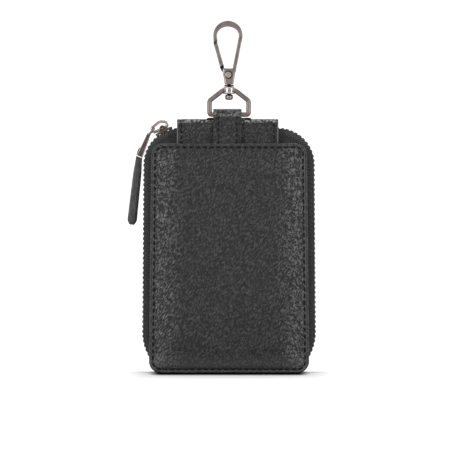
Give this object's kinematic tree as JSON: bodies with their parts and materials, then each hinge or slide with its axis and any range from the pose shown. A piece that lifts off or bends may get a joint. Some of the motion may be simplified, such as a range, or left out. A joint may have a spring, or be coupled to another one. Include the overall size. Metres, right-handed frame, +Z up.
{
  "type": "zip-around key holder",
  "caption": "Zip-around leather key case with a folding rear half, swinging key hooks inside, and a swivel snap hook on a ring at the top",
  "frame": {"origin": "middle of the base, on the ground, below the ring's middle", "axes": "+Z up along the case to the hook, the face looks along -Y, +X to the right seen from the front"},
  "size_m": [0.0809, 0.0214, 0.1506],
  "materials": {
    "front_panel": "satin",
    "front_frame": "satin",
    "front_tape": "matte",
    "front_coil": "matte",
    "front_lining": "matte",
    "bottom_spine": "satin",
    "hang_tab": "satin",
    "hang_loop": "satin",
    "rear_panel": "satin",
    "rear_tape": "matte",
    "rear_coil": "matte",
    "rear_lining": "matte",
    "key_rail": "satin",
    "rail_rivet_1": "satin",
    "rail_rivet_2": "satin",
    "key_pin_1": "satin",
    "key_pin_2": "satin",
    "key_pin_3": "satin",
    "key_pin_4": "satin",
    "ring": "polished",
    "hook_body": "polished",
    "swivel_post": "polished",
    "gate_rivet": "polished",
    "gate_spring": "satin",
    "hook_gate": "polished",
    "slider_body": "polished",
    "slider_bail": "polished",
    "pull_link": "polished",
    "pull_clamp": "polished",
    "pull_leaf_front": "satin",
    "pull_leaf_back": "satin",
    "key_hook_1": "satin",
    "key_tongue_1": "satin",
    "key_hook_2": "satin",
    "key_tongue_2": "satin",
    "key_hook_3": "satin",
    "key_tongue_3": "satin",
    "key_hook_4": "satin",
    "key_tongue_4": "satin"
  },
  "bodies": {
    "case_front": {"front_panel": "front_panel", "front_frame": "front_frame", "front_tape": "front_tape", "front_coil": "front_coil", "front_lining": "front_lining", "bottom_spine": "bottom_spine", "hang_tab": "hang_tab", "hang_loop": "hang_loop"},
    "case_rear": {"rear_panel": "rear_panel", "rear_tape": "rear_tape", "rear_coil": "rear_coil", "rear_lining": "rear_lining", "key_rail": "key_rail", "rail_rivet_1": "rail_rivet_1", "rail_rivet_2": "rail_rivet_2", "key_pin_1": "key_pin_1", "key_pin_2": "key_pin_2", "key_pin_3": "key_pin_3", "key_pin_4": "key_pin_4"},
    "ring_frame": {"ring": "ring"},
    "hook": {"hook_body": "hook_body", "swivel_post": "swivel_post", "gate_rivet": "gate_rivet", "gate_spring": "gate_spring"},
    "gate": {"hook_gate": "hook_gate"},
    "slider": {"slider_body": "slider_body"},
    "bail": {"slider_bail": "slider_bail"},
    "link": {"pull_link": "pull_link"},
    "pull": {"pull_clamp": "pull_clamp", "pull_leaf_front": "pull_leaf_front", "pull_leaf_back": "pull_leaf_back"},
    "key_hook_body_1": {"key_hook_1": "key_hook_1"},
    "key_tongue_body_1": {"key_tongue_1": "key_tongue_1"},
    "key_hook_body_2": {"key_hook_2": "key_hook_2"},
    "key_tongue_body_2": {"key_tongue_2": "key_tongue_2"},
    "key_hook_body_3": {"key_hook_3": "key_hook_3"},
    "key_tongue_body_3": {"key_tongue_3": "key_tongue_3"},
    "key_hook_body_4": {"key_hook_4": "key_hook_4"},
    "key_tongue_body_4": {"key_tongue_4": "key_tongue_4"}
  },
  "joints": [
    {"name": "case_open", "type": "hinge", "parent": "case_front", "child": "case_rear", "pos_m": [0, 0.0088, 0.001], "axis": [-1, 0, 0], "range_deg": [0, 100]},
    {"name": "ring_tilt", "type": "hinge", "parent": "case_front", "child": "ring_frame", "pos_m": [0, -0.00445, 0.1105], "axis": [1, 0, 0], "range_deg": [-90, 90]},
    {"name": "hook_swivel", "type": "hinge", "parent": "ring_frame", "child": "hook", "pos_m": [0, -0.00445, 0.1208], "axis": [0, 0, 1], "continuous": true},
    {"name": "gate_press", "type": "hinge", "parent": "hook", "child": "gate", "pos_m": [-0.0003, -0.00445, 0.1275], "axis": [0, 1, 0], "range_deg": [0, 25], "stiffness_Nm_per_rad": 0.03, "springref_deg": -20.05},
    {"name": "slider_travel", "type": "hinge", "parent": "case_front", "child": "slider", "pos_m": [-0.021, 0, 0.0892], "axis": [0, -1, 0], "range_deg": [-2, 34], "deforming": ["front_coil", "rear_coil"]},
    {"name": "bail_flop", "type": "hinge", "parent": "slider", "child": "bail", "pos_m": [-0.02861, 0, 0.10479], "axis": [-0.8988, 0, -0.4384], "range_deg": [-35, 35]},
    {"name": "link_hang", "type": "hinge", "parent": "bail", "child": "link", "pos_m": [-0.03293, 0, 0.10385], "axis": [0, -1, 0], "range_deg": [-35, 3]},
    {"name": "pull_swing", "type": "hinge", "parent": "link", "child": "pull", "pos_m": [-0.0346, 0, 0.10186], "axis": [0, 1, 0], "range_deg": [0, 60]},
    {"name": "key_hook_swing_1", "type": "hinge", "parent": "case_rear", "child": "key_hook_body_1", "pos_m": [-0.0195, 0.0045, 0.0875], "axis": [0, 1, 0], "range_deg": [-15, 15]},
    {"name": "key_tongue_press_1", "type": "hinge", "parent": "key_hook_body_1", "child": "key_tongue_body_1", "pos_m": [-0.0206, 0.0045, 0.0848], "axis": [0, -1, 0], "range_deg": [0, 12], "stiffness_Nm_per_rad": 0.002, "springref_deg": -11.46},
    {"name": "key_hook_swing_2", "type": "hinge", "parent": "case_rear", "child": "key_hook_body_2", "pos_m": [-0.0065, 0.0045, 0.0875], "axis": [0, 1, 0], "range_deg": [-15, 15]},
    {"name": "key_tongue_press_2", "type": "hinge", "parent": "key_hook_body_2", "child": "key_tongue_body_2", "pos_m": [-0.0076, 0.0045, 0.0848], "axis": [0, -1, 0], "range_deg": [0, 12], "stiffness_Nm_per_rad": 0.002, "springref_deg": -11.46},
    {"name": "key_hook_swing_3", "type": "hinge", "parent": "case_rear", "child": "key_hook_body_3", "pos_m": [0.0065, 0.0045, 0.0875], "axis": [0, 1, 0], "range_deg": [-15, 15]},
    {"name": "key_tongue_press_3", "type": "hinge", "parent": "key_hook_body_3", "child": "key_tongue_body_3", "pos_m": [0.0054, 0.0045, 0.0848], "axis": [0, -1, 0], "range_deg": [0, 12], "stiffness_Nm_per_rad": 0.002, "springref_deg": -11.46},
    {"name": "key_hook_swing_4", "type": "hinge", "parent": "case_rear", "child": "key_hook_body_4", "pos_m": [0.0195, 0.0045, 0.0875], "axis": [0, 1, 0], "range_deg": [-15, 15]},
    {"name": "key_tongue_press_4", "type": "hinge", "parent": "key_hook_body_4", "child": "key_tongue_body_4", "pos_m": [0.0184, 0.0045, 0.0848], "axis": [0, -1, 0], "range_deg": [0, 12], "stiffness_Nm_per_rad": 0.002, "springref_deg": -11.46}
  ],
  "couplings": [
    {"joint": "link_hang", "follows": "slider_travel", "ratio": -1}
  ]
}
